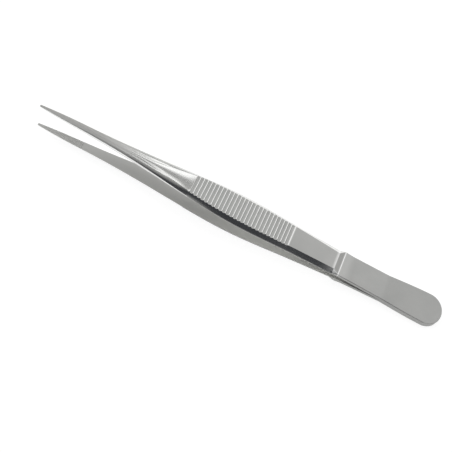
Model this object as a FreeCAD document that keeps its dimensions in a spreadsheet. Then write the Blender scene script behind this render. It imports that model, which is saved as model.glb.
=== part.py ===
import FreeCAD, Part
import Sketcher
import math
import os

# Thumb forceps with fine serrated jaws. Two like arms of forged stainless steel lie face to face and are
# welded together at the butt. From there each arm bends away from the other, steps down at a shoulder to a
# thinner springy shank, widens at a cross-fluted finger grip and tapers along a polished neck to the tip.
# An arm is drawn with its tip at the origin, X along its length, Z outwards from the plane between the arms.

doc = FreeCAD.newDocument("ThumbForceps")

# Driving sizes in millimetres. A width is measured across the inner face of an arm, a face across the flat
# of its outer face, and a thickness between the two. A side is the share of the thickness that stands upright
# before the bevel begins, and its lean is how far it draws in on the way up.
SIZES = {
    "overall_length": 150.0,
    # opening and bend of the arms
    "tip_opening": 10.6,
    "arm_bow": 0.36,
    "seam_length": 21.0,
    # tip, jaw and neck
    "neck_length": 56.1,
    "tip_width": 0.8,
    "tip_face": 0.3,
    "tip_thickness": 0.5,
    "jaw_width": 1.95,
    "jaw_face": 0.5,
    "jaw_thickness": 0.75,
    "jaw_side": 0.8,
    "jaw_lean": 0.12,
    "waist_width": 3.3,
    "waist_face": 0.8,
    "waist_thickness": 1.05,
    "waist_side": 0.68,
    "waist_lean": 0.22,
    "neck_width": 5.65,
    "neck_face": 1.2,
    "neck_thickness": 1.25,
    "neck_side": 0.52,
    "neck_lean": 0.27,
    # teeth across the inner face of the jaw
    "tooth_count": 33,
    "tooth_pitch": 0.5,
    "tooth_depth": 0.14,
    "tooth_land": 0.08,
    # finger grip and the flutes across it
    "flute_count": 27,
    "flute_pitch": 1.363,
    "flute_depth": 0.3,
    "rib_land": 0.12,
    "grip_thickness": 1.75,
    "grip_front_width": 9.4,
    "grip_front_face": 6.7,
    "grip_width": 11.85,
    "grip_face": 8.8,
    "grip_back_width": 10.6,
    "grip_back_face": 7.9,
    # shank, shoulder and butt
    "butt_length": 39.8,
    "shank_width": 9.6,
    "shank_face": 6.4,
    "shank_thickness": 1.25,
    "shoulder_length": 1.9,
    "shoulder_height": 0.42,
    "cove_length": 5.0,
    "butt_thickness": 1.2,
    "butt_width": 9.4,
    "seam_width": 9.7,
    "flare_width": 11.4,
    "flare_length": 7.0,
    "end_corner": 4.0,
    "end_bulge": 0.6,
    "grinding_stock": 0.06,
    # edges of the bar
    "bar_side": 0.22,
    "bar_bulge": 0.05,
    "butt_side": 0.85,
    "butt_edge_break": 0.15,
}

sheet = doc.addObject("Spreadsheet::Sheet", "Sizes")
for row, (alias, amount) in enumerate(SIZES.items(), start=1):
    sheet.set(f"A{row}", alias)
    sheet.set(f"B{row}", str(amount))
    sheet.setAlias(f"B{row}", alias)
doc.recompute()


def size(name):
    """The sheet's cell of that name, as used in an expression."""
    return f"Sizes.{name}"


def value(expression):
    """What an expression comes to with the sheet's present values."""
    return float(sheet.evalExpression(expression))


# Places along the arm, measured from the tip.
GRIP_AT = size("neck_length")
GRIP_LENGTH = f"{size('flute_count')} * {size('flute_pitch')}"
GRIP_END = f"({GRIP_AT} + {GRIP_LENGTH})"
SHOULDER_AT = f"({size('overall_length')} - {size('butt_length')})"
CREST_AT = f"({SHOULDER_AT} + {size('shoulder_length')})"
COVE_END = f"({CREST_AT} + {size('cove_length')})"
SEAM_AT = f"({size('overall_length')} - {size('seam_length')})"
FLARE_AT = f"({size('overall_length')} - {size('flare_length')})"


def bowed(place):
    """Height of the inner face where the arm springs outwards in a shallow bow."""
    far = f"{place} / {SEAM_AT}"
    return f"{size('tip_opening')} / 2 * (1 - {far}) * (1 + {size('arm_bow')} * {far})"


def bent(place):
    """Height of the inner face where the butt plate runs straight from the shoulder down to the seam."""
    return f"{bowed(SHOULDER_AT)} * ({SEAM_AT} - {place}) / ({SEAM_AT} - {SHOULDER_AT})"


# Each station gives its place, the height of the inner face, the width across it, the face, the thickness,
# the side and its lean.
BAR_SIDE = size("bar_side")
RAISED = f"({size('butt_thickness')} + {size('shoulder_height')})"
COVE_MIDDLE = f"({CREST_AT} + {size('cove_length')} / 3)"
COVE_THICKNESS = f"({size('butt_thickness')} + {size('shoulder_height')} / 4)"
BUTT = size("butt_thickness")
UNGROUND = f"({BUTT} + {size('grinding_stock')})"


def arm_station(name, place, thickness=None, side=BAR_SIDE, lean="0"):
    """A station of the bowed arm, whose sizes are the cells that begin with its name."""
    thick = thickness or size(f"{name}_thickness")
    return place, bowed(place), size(f"{name}_width"), size(f"{name}_face"), thick, side, lean


def butt_station(place, height, width, thickness):
    """A station of the butt, whose sides stand upright below a narrow broken edge."""
    face = f"({width} - 2 * {size('butt_edge_break')})"
    return place, height, width, face, thickness, size("butt_side"), "0"


STATIONS = {
    "Tip": arm_station("tip", "0", None, size("jaw_side"), f"{size('jaw_lean')} / 2"),
    "Jaw": arm_station("jaw", f"{GRIP_AT} / 8", None, size("jaw_side"), size("jaw_lean")),
    "Waist": arm_station("waist", f"{GRIP_AT} * 3 / 8", None, size("waist_side"), size("waist_lean")),
    "Neck": arm_station("neck", f"{GRIP_AT} * 2 / 3", None, size("neck_side"), size("neck_lean")),
    "GripFront": arm_station("grip_front", GRIP_AT, size("grip_thickness")),
    "Grip": arm_station("grip", f"({GRIP_AT} + {GRIP_LENGTH} / 2)"),
    "GripBack": arm_station("grip_back", GRIP_END, size("grip_thickness")),
    "Shoulder": arm_station("shank", SHOULDER_AT),
    "Crest": butt_station(CREST_AT, bent(CREST_AT), size("butt_width"), RAISED),
    "CoveMiddle": butt_station(COVE_MIDDLE, bent(COVE_MIDDLE), size("butt_width"), COVE_THICKNESS),
    "CoveEnd": butt_station(COVE_END, bent(COVE_END), size("butt_width"), BUTT),
    "Seam": butt_station(SEAM_AT, "0", size("seam_width"), BUTT),
    "Flare": butt_station(FLARE_AT, "0", size("flare_width"), UNGROUND),
    "End": butt_station(size("overall_length"), "0", size("flare_width"), UNGROUND),
}

# The bar from tip to shoulder is drawn in one smooth sweep. The stretches of the butt follow it: the stations
# that each is drawn through, and whether its sides run straight.
BAR_STATIONS = ("Tip", "Jaw", "Waist", "Neck", "GripFront", "Grip", "GripBack", "Shoulder")
BUTT_STRETCHES = {
    "Step": (("Shoulder", "Crest"), True),
    "Cove": (("Crest", "CoveMiddle", "CoveEnd"), False),
    "Bend": (("CoveEnd", "Seam"), True),
    "ButtPlate": (("Seam", "Flare", "End"), False),
}


def plane_sketch(body, plane_role, name):
    """An empty sketch that lies flat on one of the body's own origin planes."""
    plane = next(item for item in body.Origin.OriginFeatures if item.Role == plane_role)
    sketch = body.newObject("Sketcher::SketchObject", name)
    sketch.AttachmentSupport = [(plane, "")]
    sketch.MapMode = "FlatFace"
    return sketch


def arc_through(start, end, radius):
    """Arc from start to end that bulges right of its direction, or left where the radius is negative."""
    first, last = (start, end) if radius > 0 else (end, start)
    half = (last - first) * 0.5
    rise = math.sqrt(max(radius**2 - half.Length**2, 0.0))
    normal = FreeCAD.Vector(-half.y, half.x, 0).normalize()
    centre = first + half + normal * rise
    circle = Part.Circle(centre, FreeCAD.Vector(0, 0, 1), abs(radius))
    begin = math.atan2(first.y - centre.y, first.x - centre.x)
    finish = math.atan2(last.y - centre.y, last.x - centre.x)
    return Part.ArcOfCircle(circle, begin, finish)


def closed_outline(sketch, corners, radii=None):
    """Draws a closed outline. Its corners and the radii of its round sides stay bound to the sheet."""
    radii = radii or {}
    points = [FreeCAD.Vector(value(x), value(y), 0) for x, y in corners]
    starts = []
    for index, point in enumerate(points):
        following = points[(index + 1) % len(points)]
        if index in radii:
            radius = value(radii[index])
            side = sketch.addGeometry(arc_through(point, following, radius))
            bound = sketch.addConstraint(Sketcher.Constraint("Radius", side, abs(radius)))
            sketch.setExpression(f"Constraints[{bound}]", f"abs({radii[index]})")
            starts.append((side, 1 if radius > 0 else 2))
        else:
            side = sketch.addGeometry(Part.LineSegment(point, following))
            starts.append((side, 1))
    for index, (side, start) in enumerate(starts):
        following, following_start = starts[(index + 1) % len(starts)]
        sketch.addConstraint(Sketcher.Constraint("Coincident", side, 3 - start, following, following_start))
        for kind, coordinate, expression in zip(("DistanceX", "DistanceY"), points[index], corners[index]):
            bound = sketch.addConstraint(Sketcher.Constraint(kind, side, start, coordinate))
            sketch.setExpression(f"Constraints[{bound}]", expression)


def draw_section(sketch, station):
    """Section of the bar: flat inner face, upright sides, bevels of two facets and a flat outer face."""
    _, height, width, face, thickness, side, lean = station
    upright = f"{thickness} * {side}"
    corner = f"({width} / 2 - {lean})"
    rise = f"({thickness} - {upright})"
    reach = f"({corner} - {face} / 2)"
    middle = f"({corner} + {face} / 2) / 2 + {size('bar_bulge')} * {rise}"
    shelf = f"{height} + {thickness} - {rise} / 2 + {size('bar_bulge')} * {reach}"
    top = f"{height} + {thickness}"
    right = [
        (f"{width} / 2", height),
        (corner, f"{height} + {upright}"),
        (middle, shelf),
        (f"{face} / 2", top),
    ]
    left = [(f"-({y})", z) for y, z in reversed(right)]
    closed_outline(sketch, right + left)


def make_bar():
    """The bar from tip to shoulder, which both arms begin with."""
    across = FreeCAD.Rotation(FreeCAD.Vector(1, 1, 1), 120)
    sections = []
    for name in BAR_STATIONS:
        sketch = doc.addObject("Sketcher::SketchObject", f"Bar{name}")
        sketch.Placement = FreeCAD.Placement(FreeCAD.Vector(), across)
        sketch.setExpression("Placement.Base.x", STATIONS[name][0])
        draw_section(sketch, STATIONS[name])
        sections.append(sketch)
    bar = doc.addObject("Part::Loft", "Bar")
    bar.Sections = sections
    bar.Solid = True
    bar.MaxDegree = 3
    return bar


def section_sketch(body, name):
    """A section of the butt, on a plane across the arm at its station."""
    sketch = plane_sketch(body, "YZ_Plane", name)
    sketch.setExpression("AttachmentOffset.Base.z", STATIONS[name][0])
    draw_section(sketch, STATIONS[name])
    return sketch


def loft(body, name, sketches, straight):
    """A stretch of the arm drawn through its sections."""
    stretch = body.newObject("PartDesign::AdditiveLoft", name)
    stretch.Profile = sketches[0]
    stretch.Sections = sketches[1:]
    stretch.Ruled = straight
    return stretch


def cut_across(body, name, sketch, reach):
    """Cuts a sketch that stands on the arm's length right across the arm."""
    cut = body.newObject("PartDesign::Pocket", name)
    cut.Profile = sketch
    cut.SideType = "Symmetric"
    cut.Refine = False
    cut.setExpression("Length", reach)
    return cut


def repeat_along(body, name, cut, sketch, pitch, count):
    """Repeats a cut along the slope of the sketch that it was drawn in."""
    pattern = body.newObject("PartDesign::LinearPattern", name)
    pattern.Originals = [cut]
    pattern.Direction = (sketch, ["H_Axis"])
    pattern.Mode = "Spacing"
    pattern.Refine = False
    pattern.setExpression("Offset", pitch)
    pattern.setExpression("Occurrences", count)
    body.Tip = pattern
    return pattern


def slope_between(first, second, rise):
    """Angle in degrees of the line between two places of the arm whose heights differ by the rise."""
    return f"atan(({rise}) / ({second} - {first}))"


def sloping_sketch(body, name, place, height, angle):
    """A sketch that stands along the arm, with its own axis laid to the slope of the arm's face."""
    sketch = plane_sketch(body, "XZ_Plane", name)
    sketch.setExpression("AttachmentOffset.Base.x", place)
    sketch.setExpression("AttachmentOffset.Base.y", height)
    sketch.setExpression("AttachmentOffset.Rotation.Angle", angle)
    return sketch


def grip_flutes(body):
    """Hollow flutes across the finger grip, which leave narrow ribs standing between them."""
    first = f"({GRIP_AT} + {size('flute_pitch')} / 2)"
    last = f"({GRIP_END} - {size('flute_pitch')} / 2)"
    rise = f"{bowed(last)} - ({bowed(first)})"
    crown = f"{bowed(first)} + {size('grip_thickness')}"
    sketch = sloping_sketch(body, "FluteProfile", first, crown, slope_between(first, last, rise))
    half = f"({size('flute_pitch')} - {size('rib_land')}) / 2"
    depth = size("flute_depth")
    radius = f"(({half})^2 + {depth}^2) / (2 * {depth})"
    corners = (
        (f"-{half}", "0"),
        ("0", f"-{depth}"),
        (half, "0"),
        (half, depth),
        (f"-{half}", depth),
    )
    closed_outline(sketch, corners, {0: f"-{radius}", 1: f"-{radius}"})
    flute = cut_across(body, "Flute", sketch, f"2 * {size('grip_width')}")
    return repeat_along(body, "Flutes", flute, sketch, size("flute_pitch"), size("flute_count"))


def jaw_teeth(body, shift):
    """Fine teeth across the inner face of the jaw. The shift is the share of a pitch that they start late."""
    start = f"{size('tooth_pitch')} * {shift}"
    end = f"{size('tooth_pitch')} * ({shift} + {size('tooth_count')})"
    rise = f"{bowed(end)} - ({bowed(start)})"
    sketch = sloping_sketch(body, "ToothProfile", start, bowed(start), slope_between(start, end, rise))
    half = f"({size('tooth_pitch')} - {size('tooth_land')}) / 2"
    depth = size("tooth_depth")
    corners = (
        (f"-{half}", f"-{depth}"),
        (half, f"-{depth}"),
        (half, "0"),
        ("0", depth),
        (f"-{half}", "0"),
    )
    closed_outline(sketch, corners)
    gap = cut_across(body, "ToothGap", sketch, f"2 * {size('waist_width')}")
    return repeat_along(body, "Teeth", gap, sketch, size("tooth_pitch"), size("tooth_count"))


def grind_flat(body):
    """Grinds the outer face of the butt plate flat, from the seam to the end."""
    sketch = plane_sketch(body, "XZ_Plane", "GroundFace")
    past = f"({size('overall_length')} + {size('end_corner')})"
    above = f"3 * {BUTT}"
    closed_outline(sketch, ((SEAM_AT, BUTT), (past, BUTT), (past, above), (SEAM_AT, above)))
    cut_across(body, "Grinding", sketch, f"2 * {size('flare_width')}")


def round_end(body):
    """Trims the butt plate to its rounded end, seen from above."""
    sketch = plane_sketch(body, "XY_Plane", "EndOutline")
    length = size("overall_length")
    corner = size("end_corner")
    side = f"({size('flare_width')} / 2 + {size('end_bulge')} / 10)"
    begin = f"{length} - {corner} - {size('end_bulge')}"
    flat = f"({side} - {corner})"
    shelf = f"{length} - {size('end_bulge')}"
    outer = f"{side} + {corner}"
    past = f"{length} + {corner}"
    bulge = f"({flat}^2 + {size('end_bulge')}^2) / (2 * {size('end_bulge')})"
    corners = (
        (past, f"-({outer})"),
        (past, outer),
        (begin, outer),
        (begin, side),
        (shelf, flat),
        (shelf, f"-{flat}"),
        (begin, f"-{side}"),
        (begin, f"-({outer})"),
    )
    closed_outline(sketch, corners, {3: f"-{corner}", 4: f"-{bulge}", 5: f"-{corner}"})
    cut = body.newObject("PartDesign::Pocket", "EndTrim")
    cut.Profile = sketch
    cut.SideType = "Symmetric"
    cut.setExpression("Length", f"4 * {size('butt_thickness')}")


def make_arm(label, bar, tooth_shift):
    """One forged arm of the forceps."""
    body = doc.addObject("PartDesign::Body", label.title().replace("_", ""))
    body.Label = label
    body.BaseFeature = bar
    sections = {name: section_sketch(body, name) for name in STATIONS if name not in BAR_STATIONS[:-1]}
    for name, (stations, straight) in BUTT_STRETCHES.items():
        loft(body, name, [sections[station] for station in stations], straight)
    grind_flat(body)
    round_end(body)
    grip_flutes(body)
    jaw_teeth(body, tooth_shift)
    return body


arm_bar = make_bar()
upper_arm = make_arm("upper_arm", arm_bar, 1)
lower_arm = make_arm("lower_arm", arm_bar, 1.5)
doc.recompute()

lower_arm.Placement = FreeCAD.Placement(FreeCAD.Vector(), FreeCAD.Rotation(FreeCAD.Vector(1, 0, 0), 180))
arms = (upper_arm, lower_arm)

for item in doc.Objects:
    if "Invalid" in item.State or "Error" in item.State:
        raise RuntimeError(f"{item.Label} could not be made: {item.State}")
for arm in arms:
    if arm.Shape.isNull() or not arm.Shape.isValid() or len(arm.Shape.Solids) != 1:
        raise RuntimeError(f"{arm.Label} is not one sound solid")


def resting_angle(points, centre_x):
    """Angle in degrees that brings level the stretch of the underside that carries the centre of mass."""
    hull = []
    for point in sorted(points):
        while len(hull) > 1:
            (x1, z1), (x2, z2) = hull[-2:]
            if (x2 - x1) * (point[1] - z1) > (z2 - z1) * (point[0] - x1):
                break
            hull.pop()
        hull.append(point)
    left, right = next(pair for pair in zip(hull, hull[1:]) if pair[0][0] <= centre_x < pair[1][0])
    return math.degrees(math.atan2(right[1] - left[1], right[0] - left[0]))


# The forceps lie down as they do on a table, on the lower arm's ribs and the end of its butt, with the
# middle of the space that they take up over the origin.
FACET = 0.05
underside = [(point.x, point.z) for point in lower_arm.Shape.tessellate(FACET)[0]]
heavy_at = upper_arm.Shape.Solids[0].CenterOfMass.x
tilt = FreeCAD.Rotation(FreeCAD.Vector(0, 1, 0), resting_angle(underside, heavy_at))
resting = Part.makeCompound([arm.Shape.copy() for arm in arms])
resting.Placement = FreeCAD.Placement(FreeCAD.Vector(), tilt)
box = resting.optimalBoundingBox()
middle = FreeCAD.Vector(-box.Center.x, 0, -box.ZMin)
for arm in arms:
    arm.Placement = FreeCAD.Placement(middle, tilt) * arm.Placement
doc.recompute()

os.makedirs("parts", exist_ok=True)
for arm in arms:
    arm.Shape.exportStep(f"parts/{arm.Label}.step")
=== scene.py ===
import math
import bmesh
import bpy
import numpy as np
from mathutils import Matrix, Vector


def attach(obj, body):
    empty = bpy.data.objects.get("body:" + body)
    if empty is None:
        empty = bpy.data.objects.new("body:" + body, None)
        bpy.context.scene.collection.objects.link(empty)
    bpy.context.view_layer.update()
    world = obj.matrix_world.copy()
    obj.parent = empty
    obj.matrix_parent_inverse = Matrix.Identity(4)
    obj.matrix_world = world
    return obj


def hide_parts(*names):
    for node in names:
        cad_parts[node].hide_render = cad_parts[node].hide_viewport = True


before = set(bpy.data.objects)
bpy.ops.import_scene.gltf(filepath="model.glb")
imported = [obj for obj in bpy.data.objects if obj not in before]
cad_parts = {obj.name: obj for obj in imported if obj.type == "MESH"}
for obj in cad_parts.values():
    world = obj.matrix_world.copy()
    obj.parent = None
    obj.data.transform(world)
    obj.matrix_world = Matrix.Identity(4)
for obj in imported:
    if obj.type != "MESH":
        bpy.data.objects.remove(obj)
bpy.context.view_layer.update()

# Arms. Each is one bar of martensitic stainless steel, forged, ground flat on the inside, beveled
# along the outside, fluted across the finger grip and toothed across the jaw. The second is the
# same forging turned over onto the first, and the two are welded together along the butt.
METRES = 0.001

# Places along an arm, in millimetres from its tip.
LENGTH, GRIP_AT, SHOULDER_AT, CREST_AT, COVE_END, SEAM_AT, FLARE_AT = (
    150.0, 56.1, 110.2, 112.1, 117.1, 129.0, 143.0
)
FLUTE_PITCH, FLUTES, FLUTE_DEPTH, RIB_LAND = 1.363, 27, 0.3, 0.12
GRIP_END = GRIP_AT + FLUTES * FLUTE_PITCH
TOOTH_PITCH, TEETH, TOOTH_DEPTH, TOOTH_LAND = 0.5, 33, 0.14, 0.08
HALF_OPENING, BOW = 5.3, 0.36

# Stations from the tip to the shoulder: place, width, face, thickness, share of it that stands
# upright, and the lean of that side.
BAR = np.array([
    (0.0, 0.8, 0.3, 0.5, 0.8, 0.06),
    (GRIP_AT / 8, 1.95, 0.5, 0.75, 0.8, 0.12),
    (GRIP_AT * 3 / 8, 3.3, 0.8, 1.05, 0.68, 0.22),
    (GRIP_AT * 2 / 3, 5.65, 1.2, 1.25, 0.52, 0.27),
    (GRIP_AT, 9.4, 6.7, 1.75, 0.22, 0.0),
    ((GRIP_AT + GRIP_END) / 2, 11.85, 8.8, 1.75, 0.22, 0.0),
    (GRIP_END, 10.6, 7.9, 1.75, 0.22, 0.0),
    (SHOULDER_AT, 9.6, 6.4, 1.25, 0.22, 0.0),
])
BUTT_WIDTH, SEAM_WIDTH, FLARE_WIDTH = 9.4, 9.7, 11.4
BUTT_THICK, CREST_THICK, COVE_THICK = 1.2, 1.62, 1.305
BUTT_SIDE, BUTT_BREAK = 0.85, 0.15

# Height of the crown that polishing leaves on the neck, and its most as a share of the half face.
CROWN = (
    (0.0, 0.0), (12.0, 0.02), (22.0, 0.05), (37.4, 0.13), (48.0, 0.19), (53.0, 0.2), (GRIP_AT, 0.1)
)
CROWN_LIMIT = 0.12

# The long bevels swell a little along the neck and are flat past it.
SWELL, SWELL_FULL, SWELL_GONE = 0.09, 46.0, 70.0

# How a flute runs out at its ends: distance in from the bevel, and share of the depth there.
# A face narrower than NARROW_FACE to one side has these points closer together.
RUN_OUT = ((0.0, 0.7), (0.2, 0.86), (0.5, 0.96), (0.9, 1.0))
NARROW_FACE = 2.2

# Points of the section, as shares of the half width: one on the inner face and one on the outer.
INNER_SHARE, OUTER_SHARE = 0.55, 0.4
EDGE_BREAK, SIDE_STEPS = 0.04, 7

# The butt's end is a rounded curve of this reach and fullness, a little wider than the flare.
END_ROUND, END_POWER, END_SPREAD, END_STEP = 5.8, 2.1, 0.06, math.radians(2.6)

# The tip starts at this share of its section and is full after TIP_ROUND.
TIP_START, TIP_ROUND = 0.45, 0.3


def clamp(value):
    return min(max(value, 0.0), 1.0)


def smooth_through(places, values):
    """The natural cubic curve through values at rising places."""
    places, values = np.asarray(places, float), np.asarray(values, float)
    gaps, last = np.diff(places), len(places) - 1
    slopes = np.diff(values) / gaps
    system, right = np.eye(last + 1), np.zeros(last + 1)
    for k in range(1, last):
        system[k, k - 1:k + 2] = gaps[k - 1], 2 * (gaps[k - 1] + gaps[k]), gaps[k]
        right[k] = 6 * (slopes[k] - slopes[k - 1])
    bend = np.linalg.solve(system, right)

    def curve(place):
        k = min(max(int(np.searchsorted(places, place)) - 1, 0), last - 1)
        before, after, gap = place - places[k], places[k + 1] - place, gaps[k]
        line = (values[k] * after + values[k + 1] * before) / gap
        pull = bend[k] * (gap + after) + bend[k + 1] * (gap + before)
        return line - before * after * pull / (6 * gap)

    return curve


def corners(width, face, thick, side, lean):
    """Half section above the inner face: foot and top of the upright side, and border of the outer
    face."""
    return width / 2, width / 2 - lean, thick * side, face / 2, thick


def butt_corners(width, thick):
    return corners(width, width - 2 * BUTT_BREAK, thick, BUTT_SIDE, 0.0)


bar_sections = zip(*(corners(*row[1:]) for row in BAR))
bar_curves = [smooth_through(BAR[:, 0], column) for column in bar_sections]
crown_height = smooth_through(*zip(*CROWN))
cove_places = (CREST_AT, CREST_AT + (COVE_END - CREST_AT) / 3, COVE_END)
cove_thick = smooth_through(cove_places, (CREST_THICK, COVE_THICK, BUTT_THICK))
plate_places = (SEAM_AT, FLARE_AT, LENGTH)
plate_width = smooth_through(plate_places, (SEAM_WIDTH, FLARE_WIDTH, FLARE_WIDTH))


def inner_height(x):
    """Height of the inner face over the plane between the arms."""
    def bowed(place):
        far = place / SEAM_AT
        return HALF_OPENING * (1 - far) * (1 + BOW * far)
    if x <= SHOULDER_AT:
        return bowed(x)
    return max(bowed(SHOULDER_AT) * (SEAM_AT - x) / (SEAM_AT - SHOULDER_AT), 0.0)


def half_section(x):
    """Foot and top of the upright side and border of the outer face at a place along the arm."""
    if x <= SHOULDER_AT:
        return [curve(x) for curve in bar_curves]
    if x <= CREST_AT:
        share = (x - SHOULDER_AT) / (CREST_AT - SHOULDER_AT)
        shoulder = (curve(SHOULDER_AT) for curve in bar_curves)
        crest = butt_corners(BUTT_WIDTH, CREST_THICK)
        return [a + (b - a) * share for a, b in zip(shoulder, crest)]
    if x <= COVE_END:
        return butt_corners(BUTT_WIDTH, cove_thick(x))
    if x <= SEAM_AT:
        share = (x - COVE_END) / (SEAM_AT - COVE_END)
        return butt_corners(BUTT_WIDTH + (SEAM_WIDTH - BUTT_WIDTH) * share, BUTT_THICK)
    return butt_corners(plate_width(x), BUTT_THICK)


def end_limit(x, inset):
    """Half width that the rounded end leaves at a place, for the outline drawn in by the inset."""
    half = FLARE_WIDTH / 2 + END_SPREAD - inset
    into = clamp((x - LENGTH + END_ROUND) / (END_ROUND - inset))
    return half * (1 - into ** END_POWER) ** (1 / END_POWER)


def flute_depth(x):
    """Depth of the flutes at a place: each is an arc between narrow ribs."""
    half = (FLUTE_PITCH - RIB_LAND) / 2
    arc = (half ** 2 + FLUTE_DEPTH ** 2) / (2 * FLUTE_DEPTH)
    phase = (x - GRIP_AT) % FLUTE_PITCH - FLUTE_PITCH / 2
    if not GRIP_AT <= x <= GRIP_END or abs(phase) >= half:
        return 0.0
    return math.sqrt(arc ** 2 - phase ** 2) - (arc - FLUTE_DEPTH)


def tooth_depth(x, first):
    """Depth of the teeth at a place: each gap is a notch with straight sides."""
    half = (TOOTH_PITCH - TOOTH_LAND) / 2
    nearest = first + TOOTH_PITCH * min(max(round((x - first) / TOOTH_PITCH), 0), TEETH - 1)
    return TOOTH_DEPTH * max(1 - abs(x - nearest) / half, 0.0)


def bevel_at(x, top, border, drop):
    """The bevel's curve down to the top of the upright side. It begins where a flute of the given
    depth at its end leaves the curve."""
    (top_y, top_z), (border_y, border_z) = top, border
    swell = SWELL * (1 - clamp((x - SWELL_FULL) / (SWELL_GONE - SWELL_FULL)))
    bend_y = (top_y + border_y) / 2 + 2 * swell * (border_z - top_z)
    bend_z = (top_z + border_z) / 2 + 2 * swell * (top_y - border_y)
    curve, slope = border_z - 2 * bend_z + top_z, 2 * (bend_z - border_z)
    begin = 0.0
    if drop > 0:
        begin = 2 * drop / (-slope + math.sqrt(max(slope ** 2 - 4 * curve * drop, 0.0)))

    def point(far):
        share = begin + (1 - begin) * far
        rest = 1 - share
        y = rest ** 2 * border_y + 2 * share * rest * bend_y + share ** 2 * top_y
        return y, rest ** 2 * border_z + 2 * share * rest * bend_z + share ** 2 * top_z

    return point


def round_off(x, points):
    """The section of the butt, drawn in to its rounded end with its edges broken."""
    same = 1e-6
    _, _, top_z, _, face_z = half_section(x)
    half, reach = plate_width(x) / 2, LENGTH - x
    roof = top_z + (face_z - top_z) * min(reach / BUTT_BREAK, 1.0)
    share = min(end_limit(x, min(BUTT_BREAK, reach)) / (half - BUTT_BREAK), 1.0)
    rounded = []
    for y, z in points:
        at_rim = half - y < BUTT_BREAK + same
        limit = end_limit(x, min(half - y, reach)) if at_rim else 0.0
        rounded.append((min(y, limit) if at_rim else y * share, min(z, roof)))
    return rounded


def section(x, first_tooth):
    """Points of the right half of the section, from the middle of the inner face round to that of
    the outer."""
    foot_y, top_y, top_z, face_y, face_z = half_section(x)
    crown = min(max(crown_height(x), 0.0), CROWN_LIMIT * face_y) if x < GRIP_AT else 0.0
    low, depth = tooth_depth(x, first_tooth), flute_depth(x)
    points = [(0.0, low), (foot_y * INNER_SHARE, low), (foot_y - EDGE_BREAK, low)]
    points += [(foot_y, low + EDGE_BREAK), (top_y, top_z)]
    bevel = bevel_at(x, (top_y, top_z), (face_y, face_z - crown), depth * RUN_OUT[0][1])
    points += [bevel(1 - k / SIDE_STEPS) for k in range(1, SIDE_STEPS)]
    border, _ = bevel(0.0)
    for inset, share in RUN_OUT:
        y = border - inset * min(border / NARROW_FACE, 1.0)
        points.append((y, face_z - depth * share - crown * (y / face_y) ** 2))
    points += [
        (border * OUTER_SHARE, face_z - depth - crown * OUTER_SHARE ** 2),
        (0.0, face_z - depth),
    ]
    return round_off(x, points) if x > SEAM_AT else points


# Columns of the section's points: the last of the inner face, the foot of the bevel and the border
# of the outer face.
INNER, EDGE, BORDER = 3, 4, 4 + SIDE_STEPS

# Stretches of the arm with evenly spaced stations: begin, end and count.
STRETCHES = (
    (17.2, GRIP_AT - 0.2, 52),
    (GRIP_END + 0.5, SHOULDER_AT, 20),
    (SHOULDER_AT, CREST_AT, 10),
    (CREST_AT, COVE_END, 20),
    (COVE_END + 0.6, SEAM_AT, 14),
    (SEAM_AT, LENGTH - 6.0, 22),
)
FLUTE_SHARES = (-1, -0.86, -0.66, -0.42, -0.15, 0.15, 0.42, 0.66, 0.86, 1)


def stations(first_tooth):
    """Places along the arm that its skin is drawn through."""
    places = {0.0, 0.12, TIP_ROUND, GRIP_AT, GRIP_END}
    half = (TOOTH_PITCH - TOOTH_LAND) / 2
    for k in range(TEETH):
        middle = first_tooth + TOOTH_PITCH * k
        places |= {middle - half, middle, middle + half}
    half = (FLUTE_PITCH - RIB_LAND) / 2
    for k in range(FLUTES):
        middle = GRIP_AT + (k + 0.5) * FLUTE_PITCH
        places |= {middle + half * share for share in FLUTE_SHARES}
    for begin, end, count in STRETCHES:
        places |= set(np.linspace(begin, end, count))
    places |= {LENGTH - END_ROUND * (1 - math.cos(END_STEP * k)) for k in range(1, 34)}
    places |= {LENGTH - reach for reach in (BUTT_BREAK, 0.09, 0.04, 0.003)}
    nearest, ordered = 1e-4, sorted(places)
    followers = ordered[1:] + [math.inf]
    return [x for x, after in zip(ordered, followers) if after - x > nearest]


# Painted highlight. How far an edge is painted bright, standing in for the light that it catches:
# the ribs and the ends of the flutes, the two lines of the shoulder with their half widths, and the
# long edges of the jaw, which fade towards the neck.
RIB_HIGHLIGHT, FLUTE_END_HIGHLIGHT = 0.9, 0.5
SHOULDER_HIGHLIGHT, SHOULDER_LINE, CREST_HIGHLIGHT, CREST_LINE = 0.75, 0.22, 0.9, 0.28
JAW_HIGHLIGHT, JAW_HIGHLIGHT_STEP, JAW_HIGHLIGHT_END, JAW_HIGHLIGHT_FADE = 0.8, 0.2, 40.0, 12.0
HAIR = 0.01


def painted_highlight_at(x, column):
    """How far the skin is painted bright at a place and column, a painted highlight."""
    if column < EDGE:
        return 0.0
    if GRIP_AT - HAIR <= x <= GRIP_END + HAIR:
        if column < BORDER:
            return 0.0
        if flute_depth(x) < HAIR:
            return RIB_HIGHLIGHT
        return FLUTE_END_HIGHLIGHT if column == BORDER else 0.0
    if x < JAW_HIGHLIGHT_END:
        edge = max(JAW_HIGHLIGHT - JAW_HIGHLIGHT_STEP * (column - EDGE), 0.0)
        return edge * min((JAW_HIGHLIGHT_END - x) / JAW_HIGHLIGHT_FADE, 1.0)
    shoulder = SHOULDER_HIGHLIGHT * (1 - abs(x - SHOULDER_AT) / SHOULDER_LINE)
    crest = CREST_HIGHLIGHT * (1 - abs(x - CREST_AT) / CREST_LINE)
    return max(shoulder, crest, 0.0)
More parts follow.
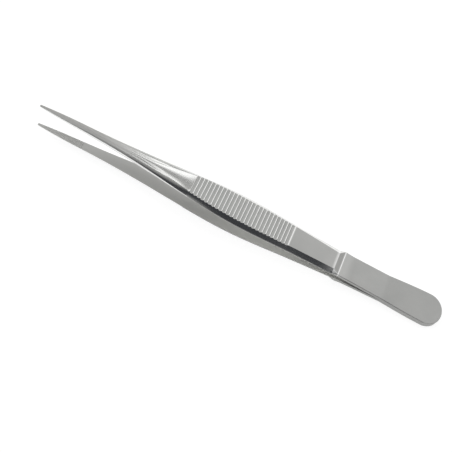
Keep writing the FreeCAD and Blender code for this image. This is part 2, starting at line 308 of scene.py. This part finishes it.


# Finish. Faces, flutes and butt are brushed to a satin, the necks and the long bevels are polished,
# and the inner faces are finely ground. Painted highlights on the edges and painted shade on the
# inner faces are mixed into these finishes' colours.
class Signal:
    """A value that runs through a node tree, so that sums are written as sums."""

    def __init__(self, graph, socket):
        self.graph, self.socket = graph, socket

    def sum(self, operation, *values):
        settings = {"operation": operation}
        return self.graph.node("ShaderNodeMath", settings, dict(enumerate(values)))

    def __add__(self, other):
        return self.sum("ADD", self, other)

    def __sub__(self, other):
        return self.sum("SUBTRACT", self, other)

    def __rsub__(self, other):
        return self.sum("SUBTRACT", other, self)

    def __mul__(self, other):
        return self.sum("MULTIPLY", self, other)

    __radd__, __rmul__ = __add__, __mul__

    def clamped(self):
        return self.graph.node("ShaderNodeClamp", {}, {"Value": self})

    def between(self, low, high):
        """0 below low, 1 above high, smooth between them."""
        ends = {"Value": self, "From Min": low, "From Max": high, "To Min": 0.0, "To Max": 1.0}
        return self.graph.node("ShaderNodeMapRange", {"interpolation_type": "SMOOTHSTEP"}, ends)


class Graph:
    """The node tree of one finish, floor or sky."""

    def __init__(self, tree):
        self.tree = tree
        tree.nodes.clear()

    def node(self, kind, settings, values, output=0):
        """Adds a node with its settings and the values or links of its sockets."""
        node = self.tree.nodes.new(kind)
        for name, setting in settings.items():
            setattr(node, name, setting)
        for name, value in values.items():
            socket = node.inputs[name]
            if isinstance(value, Signal):
                self.tree.links.new(value.socket, socket)
            else:
                socket.default_value = value
        return Signal(self, node.outputs[output]) if node.outputs else None

    def noise(self, vector, scale, detail, roughness):
        values = {"Vector": vector, "Scale": scale, "Detail": detail, "Roughness": roughness}
        return self.node("ShaderNodeTexNoise", {}, values)

    def stretched(self, vector, scale):
        """The same place with its axes scaled, for a grain that runs along the arm."""
        values = {0: vector, 1: scale}
        return self.node("ShaderNodeVectorMath", {"operation": "MULTIPLY"}, values)

    def blend(self, share, first, second):
        """A colour between two, given as linear red, green and blue."""
        first = first if isinstance(first, Signal) else (*first, 1.0)
        second = second if isinstance(second, Signal) else (*second, 1.0)
        values = {"Factor": share, 6: first, 7: second}
        return self.node("ShaderNodeMix", {"data_type": "RGBA"}, values, output=2)

    def mix(self, share, first, second):
        """A surface between two."""
        return self.node("ShaderNodeMixShader", {}, {0: share, 1: first, 2: second})

    def ray_is(self, kind):
        """1 where a ray of this kind arrives."""
        return self.node("ShaderNodeLightPath", {}, {}, f"Is {kind} Ray")


# Painted highlight: the pale colour painted on edges where they should catch the light, and the
# roughness taken off there.
PAINTED_HIGHLIGHT_COLOUR, HIGHLIGHT_GLOSS = (0.93, 0.93, 0.92), 0.08
GREY_COLOUR, GREY_MATT = (0.42, 0.42, 0.41), 0.2
SMEAR_GRAIN, LOW, HIGH = (60.0, 400.0, 400.0), 0.3, 0.7


def steel(name, pale, dark, smooth, rough, grain, depth, ramps=()):
    """Steel whose colour runs between two tones and whose roughness runs between two values. It is
    painted paler and made glossier where the mesh paints a highlight on it, and can turn grey and
    rougher along the forceps: a satin on the polished tips, painted shade on the ground inner
    faces.
    Each ramp says where that begins, where it is full and how far it goes."""
    material = bpy.data.materials.new(name)
    material.use_nodes = True
    graph = Graph(material.node_tree)
    place = graph.node("ShaderNodeTexCoord", {}, {}, "Object")
    # The painted highlight that the mesh carries on its edges.
    painted_highlight = graph.node("ShaderNodeAttribute", {"attribute_name": "painted_highlight"}, {}, "Fac")
    along = graph.node("ShaderNodeSeparateXYZ", {}, {"Vector": place}, "X")
    grey = sum(along.between(begin, full) * share for begin, full, share in ramps)
    lines = graph.noise(graph.stretched(place, grain), scale=1.0, detail=3.0, roughness=0.65)
    cloud = graph.noise(place, scale=90.0, detail=3.0, roughness=0.5)
    smears = graph.stretched(place, SMEAR_GRAIN)
    smear = graph.noise(smears, scale=1.0, detail=2.0, roughness=0.5)
    pits = graph.noise(place, scale=5200.0, detail=1.0, roughness=0.5).between(0.72, 0.80)
    tone = (lines * 0.35 + cloud * 0.65).between(LOW, HIGH)
    gloss = (lines * 0.45 + smear * 0.35 + cloud * 0.2).between(LOW, HIGH)
    colour = graph.blend(grey, graph.blend(tone, dark, pale), GREY_COLOUR)
    roughness = gloss * (rough - smooth) + smooth - painted_highlight * HIGHLIGHT_GLOSS + grey * GREY_MATT
    relief = {"Strength": 1.0, "Distance": depth * METRES, "Height": lines - pits * 0.6}
    values = {
        "Base Color": graph.blend(painted_highlight, colour, PAINTED_HIGHLIGHT_COLOUR),
        "Metallic": 1.0,
        "Roughness": roughness,
        "Normal": graph.node("ShaderNodeBump", {}, relief),
    }
    surface = graph.node("ShaderNodeBsdfPrincipled", {}, values)
    graph.node("ShaderNodeOutputMaterial", {}, {"Surface": surface})
    return material


BRIGHT_TONES = {"pale": (0.80, 0.80, 0.785), "dark": (0.72, 0.725, 0.72)}
POLISH_GRAIN = (500.0, 7000.0, 7000.0)
satin_steel = steel(
    "satin_steel", pale=(0.395, 0.395, 0.386), dark=(0.35, 0.352, 0.345),
    smooth=0.34, rough=0.42, grain=(900.0, 9000.0, 9000.0), depth=0.0012,
)
side_steel = steel(
    "side_steel", **BRIGHT_TONES, smooth=0.20, rough=0.28, grain=POLISH_GRAIN, depth=0.0003,
)
polished_steel = steel(
    "polished_steel", **BRIGHT_TONES, smooth=0.15, rough=0.22, grain=POLISH_GRAIN, depth=0.0003,
    ramps=((-0.026, -0.056, 1.0),),
)
# The ground steel is pale, which lightens the shaded inner faces between the arms as painted light.
# Its first ramp greys it back towards the tips as painted shade, and its second greys it towards
# the butt, painted shade in the narrow gap between the plates.
ground_steel = steel(
    "ground_steel", pale=(0.87, 0.87, 0.85), dark=(0.81, 0.812, 0.80),
    smooth=0.48, rough=0.56, grain=(1500.0, 9000.0, 9000.0), depth=0.0006,
    ramps=((0.020, -0.040, 0.75), (0.034, 0.048, 0.8)),
)
SATIN, POLISHED, GROUND, SIDE = range(4)
FINISHES = (satin_steel, polished_steel, ground_steel, side_steel)

# The forceps rest on the lower jaw and the lower butt. This tilts them, and the tilted length runs
# between the two ends given here.
RESTING_TILT = 2 * math.asin(0.02190309659497444)
TILTED_ENDS, LIFT = (-0.254015, 149.908631), 7.768201
SMALLEST, CREASE = 1e-4, math.radians(28)


def draw_out(bm, column, painted_highlight, first_tooth):
    """Draws the section out from the tip to the end of the butt, and closes both ends."""
    count = 2 * len(section(0.0, first_tooth)) - 2
    face = bm.faces.new([bm.verts.new((0, 0, 0)) for _ in range(count)])
    for index, x in enumerate(stations(first_tooth)):
        if index:
            new = bmesh.ops.extrude_face_region(bm, geom=[face])["geom"]
            if face.is_valid:
                bm.faces.remove(face)
            face = next(item for item in new if isinstance(item, bmesh.types.BMFace))
        half = section(x, first_tooth)
        outline = half + [(-y, z) for y, z in half[-2:0:-1]]
        height, middle = inner_height(x), half[-1][1] / 2
        rounding = math.sqrt(1 - (1 - min(x / TIP_ROUND, 1.0)) ** 2)
        blunt = TIP_START + (1 - TIP_START) * rounding
        for k, (vert, (y, z)) in enumerate(zip(face.verts, outline)):
            vert.co = (x, y * blunt, height + middle + (z - middle) * blunt)
            vert[column] = min(k, count - k)
            # Painted highlight: how bright this vertex is painted.
            vert[painted_highlight] = painted_highlight_at(x, vert[column])
    bmesh.ops.holes_fill(bm, edges=[edge for edge in bm.edges if edge.is_boundary], sides=0)
    bmesh.ops.dissolve_degenerate(bm, dist=SMALLEST, edges=bm.edges)
    bmesh.ops.recalc_face_normals(bm, faces=bm.faces)


def finish_at(x, first, last):
    """Which finish a face has, from its place and the columns that it lies between."""
    if last <= INNER:
        return GROUND
    before_grip = x < GRIP_AT - HAIR and first >= INNER
    if before_grip and last <= EDGE:
        return SIDE
    on_bevel = x < CREST_AT and first >= EDGE and last <= BORDER
    return POLISHED if before_grip or on_bevel else SATIN


def is_crease(edge, column):
    """Whether an edge stays sharp: the long lines of the forging, and every steep edge outside the
    finger grip."""
    a, b = edge.verts
    x = (a.co.x + b.co.x) / 2
    if a[column] == b[column]:
        if INNER - 1 <= a[column] <= EDGE or (a[column] == BORDER and x > GRIP_AT):
            return True
    steep = edge.is_manifold and edge.calc_face_angle(0.0) > CREASE
    return steep and not GRIP_AT < x < GRIP_END


def forge_arm(name, first_tooth, turned):
    """One arm, at its place in the resting forceps."""
    bm = bmesh.new()
    column = bm.verts.layers.int.new("column")
    painted_highlight = bm.verts.layers.float.new("painted_highlight")
    draw_out(bm, column, painted_highlight, first_tooth)
    for face in bm.faces:
        face.smooth = True
        columns = [vert[column] for vert in face.verts]
        x = face.calc_center_median().x
        face.material_index = finish_at(x, min(columns), max(columns))
    for edge in bm.edges:
        if is_crease(edge, column):
            edge.smooth = False
    turn = Matrix.Rotation(math.pi if turned else 0.0, 4, "X")
    rest = Matrix.Translation((-sum(TILTED_ENDS) / 2, 0, LIFT))
    rest = rest @ Matrix.Rotation(RESTING_TILT, 4, "Y")
    bmesh.ops.transform(bm, matrix=Matrix.Scale(METRES, 4) @ rest @ turn, verts=bm.verts)
    mesh = bpy.data.meshes.new(name)
    bm.to_mesh(mesh)
    bm.free()
    arm = bpy.data.objects.new(name, mesh)
    bpy.context.scene.collection.objects.link(arm)
    for finish in FINISHES:
        mesh.materials.append(finish)
    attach(arm, "root")
    return arm


upper = forge_arm("upper_forging", TOOTH_PITCH, False)
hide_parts("upper_arm")
lower = forge_arm("lower_forging", TOOTH_PITCH * 1.5, True)
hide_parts("lower_arm")

# Floor. A sheet of matt white board that the forceps lie on. It is lit to white all round them and
# keeps the faint shadow beneath them.
FLOOR_HALF = 25.0
bm = bmesh.new()
bmesh.ops.create_grid(bm, x_segments=1, y_segments=1, size=FLOOR_HALF)
board_mesh = bpy.data.meshes.new("white_board")
bm.to_mesh(board_mesh)
bm.free()
board = bpy.data.objects.new("white_board", board_mesh)
bpy.context.scene.collection.objects.link(board)
board_white = bpy.data.materials.new("board_white")
board_white.use_nodes = True
graph = Graph(board_white.node_tree)
place = graph.node("ShaderNodeTexCoord", {}, {}, "Object")
fibre = graph.noise(place, scale=900.0, detail=2.0, roughness=0.5)


def matt(share):
    return graph.node("ShaderNodeBsdfDiffuse", {}, {"Color": (share, share, share, 1.0)})


def board_face(share, glow):
    """The board as one kind of ray meets it: how much it reflects, and how much light it adds."""
    fibres = graph.mix(fibre, matt(share * 0.97), matt(share * 1.03))
    added = graph.node("ShaderNodeEmission", {}, {"Color": (1, 1, 1, 1), "Strength": glow})
    return graph.node("ShaderNodeAddShader", {}, {0: fibres, 1: added})


mirrored = (graph.ray_is("Glossy") + graph.ray_is("Transmission")).clamped()
plain = graph.mix(mirrored, board_face(share=0.8, glow=0.0), board_face(share=0.66, glow=0.54))
shown = graph.mix(graph.ray_is("Camera"), plain, board_face(share=0.24, glow=0.86))
graph.node("ShaderNodeOutputMaterial", {}, {"Surface": shown})
board_mesh.materials.append(board_white)

# Light. A pale studio with a dark front, one softbox behind the forceps and one almost overhead.
# A camera that looks past the board sees white.
DIM_WALL, SIDE_WALL, BACK_WALL = (0.32, 0.32, 0.315), (1.55, 1.55, 1.55), (0.68, 0.68, 0.67)
DARK_FRONT, WHITE = (0.045, 0.047, 0.052), (1.0, 1.0, 1.0)

# Where the sky changes, as angles from straight up towards the camera's side, or as the sideways
# part of a direction: where a change begins and where it is full.
FRONT_BEGINS, FRONT_ENDS = (math.radians(2), math.radians(42)), (math.radians(64), math.radians(84))
BACK_BEGINS = (math.radians(54), math.radians(68))
FRONT_SIDES, LEFT_WALL = (0.55, 0.85), (0.12, 0.6)
RIGHT_WALL_BEGINS, RIGHT_WALL_ENDS = (0.12, 0.45), (0.6, 0.9)
LEFT_SHARE, RIGHT_SHARE = 0.95, 0.9

scene = bpy.context.scene
scene.view_settings.view_transform = "Standard"
studio = bpy.data.worlds.new("studio")
scene.world = studio
studio.use_nodes = True
graph = Graph(studio.node_tree)
ray = {"Vector": graph.node("ShaderNodeTexCoord", {}, {}, "Generated")}
rightward = graph.node("ShaderNodeSeparateXYZ", {}, ray, "X")
forward = graph.node("ShaderNodeSeparateXYZ", {}, ray, "Y")
upward = graph.node("ShaderNodeSeparateXYZ", {}, ray, "Z")
leftward = 0.0 - rightward
lean = graph.node("ShaderNodeMath", {"operation": "ARCTAN2"}, {0: 0.0 - forward, 1: upward})
front = lean.between(*FRONT_BEGINS) * (1.0 - lean.between(*FRONT_ENDS))
front = front * (1.0 - rightward.between(*FRONT_SIDES)) * (1.0 - leftward.between(*FRONT_SIDES))
right_wall = rightward.between(*RIGHT_WALL_BEGINS)
right_wall = right_wall * (1.0 - rightward.between(*RIGHT_WALL_ENDS))
sides = (leftward.between(*LEFT_WALL) * LEFT_SHARE + right_wall * RIGHT_SHARE).clamped()
walls = graph.blend(sides, DIM_WALL, SIDE_WALL)
walls = graph.blend((0.0 - lean).between(*BACK_BEGINS), walls, BACK_WALL)
sky = graph.blend(front, walls, DARK_FRONT)
seen = (graph.ray_is("Camera") + graph.ray_is("Transmission")).clamped()
colour = graph.blend(seen, sky, WHITE)
air = graph.node("ShaderNodeBackground", {}, {"Color": colour, "Strength": 1.0})
graph.node("ShaderNodeOutputWorld", {}, {"Surface": air})


def softbox(name, toward, away, width, height, radiance):
    """A rectangular lamp that faces the forceps from a direction, as bright as its radiance."""
    data = bpy.data.lights.new(name, "AREA")
    data.shape = "RECTANGLE"
    data.size, data.size_y = width, height
    data.energy = math.pi * width * height * radiance
    lamp = bpy.data.objects.new(name, data)
    direction = Vector(toward).normalized()
    turn = direction.to_track_quat("Z", "Y").to_matrix().to_4x4()
    lamp.matrix_world = Matrix.Translation(direction * away) @ turn
    scene.collection.objects.link(lamp)


softbox("softbox_behind", (0.0, 0.69, 0.72), away=0.9, width=0.6, height=0.26, radiance=1.06)
softbox("softbox_overhead", (0.0, 0.23, 0.97), away=0.9, width=0.8, height=0.17, radiance=0.93)

# Camera. It looks down on the near side from where the photograph was taken, rolled so that the
# forceps run from upper left to lower right.
PICTURE, SENSOR = 452, 36.0
ELEVATION, AZIMUTH, ROLL = math.radians(59.35), math.radians(-1.27), math.radians(24.31)
PIXELS_PER_MM, DISTANCE = 2.9548, 300.0
RIGHT_PIXELS, UP_PIXELS = 11.51, -3.46
NEAREST, FARTHEST = 0.01, 80.0
back = Vector((
    -math.sin(AZIMUTH) * math.cos(ELEVATION),
    -math.cos(AZIMUTH) * math.cos(ELEVATION),
    math.sin(ELEVATION),
))
level = Vector((math.cos(AZIMUTH), -math.sin(AZIMUTH), 0))
upright = back.cross(level)
right = math.cos(ROLL) * level + math.sin(ROLL) * upright
up = math.cos(ROLL) * upright - math.sin(ROLL) * level
camera_data = bpy.data.cameras.new("camera")
camera_data.sensor_width = SENSOR
camera_data.lens = PIXELS_PER_MM * DISTANCE / PICTURE * SENSOR
camera_data.clip_start, camera_data.clip_end = NEAREST, FARTHEST
camera = bpy.data.objects.new("camera", camera_data)
camera.matrix_world = Matrix((right, up, back)).transposed().to_4x4()
shift = (right * RIGHT_PIXELS - up * UP_PIXELS) / PIXELS_PER_MM
camera.location = (back * DISTANCE - shift) * METRES
scene.collection.objects.link(camera)
scene.camera = camera
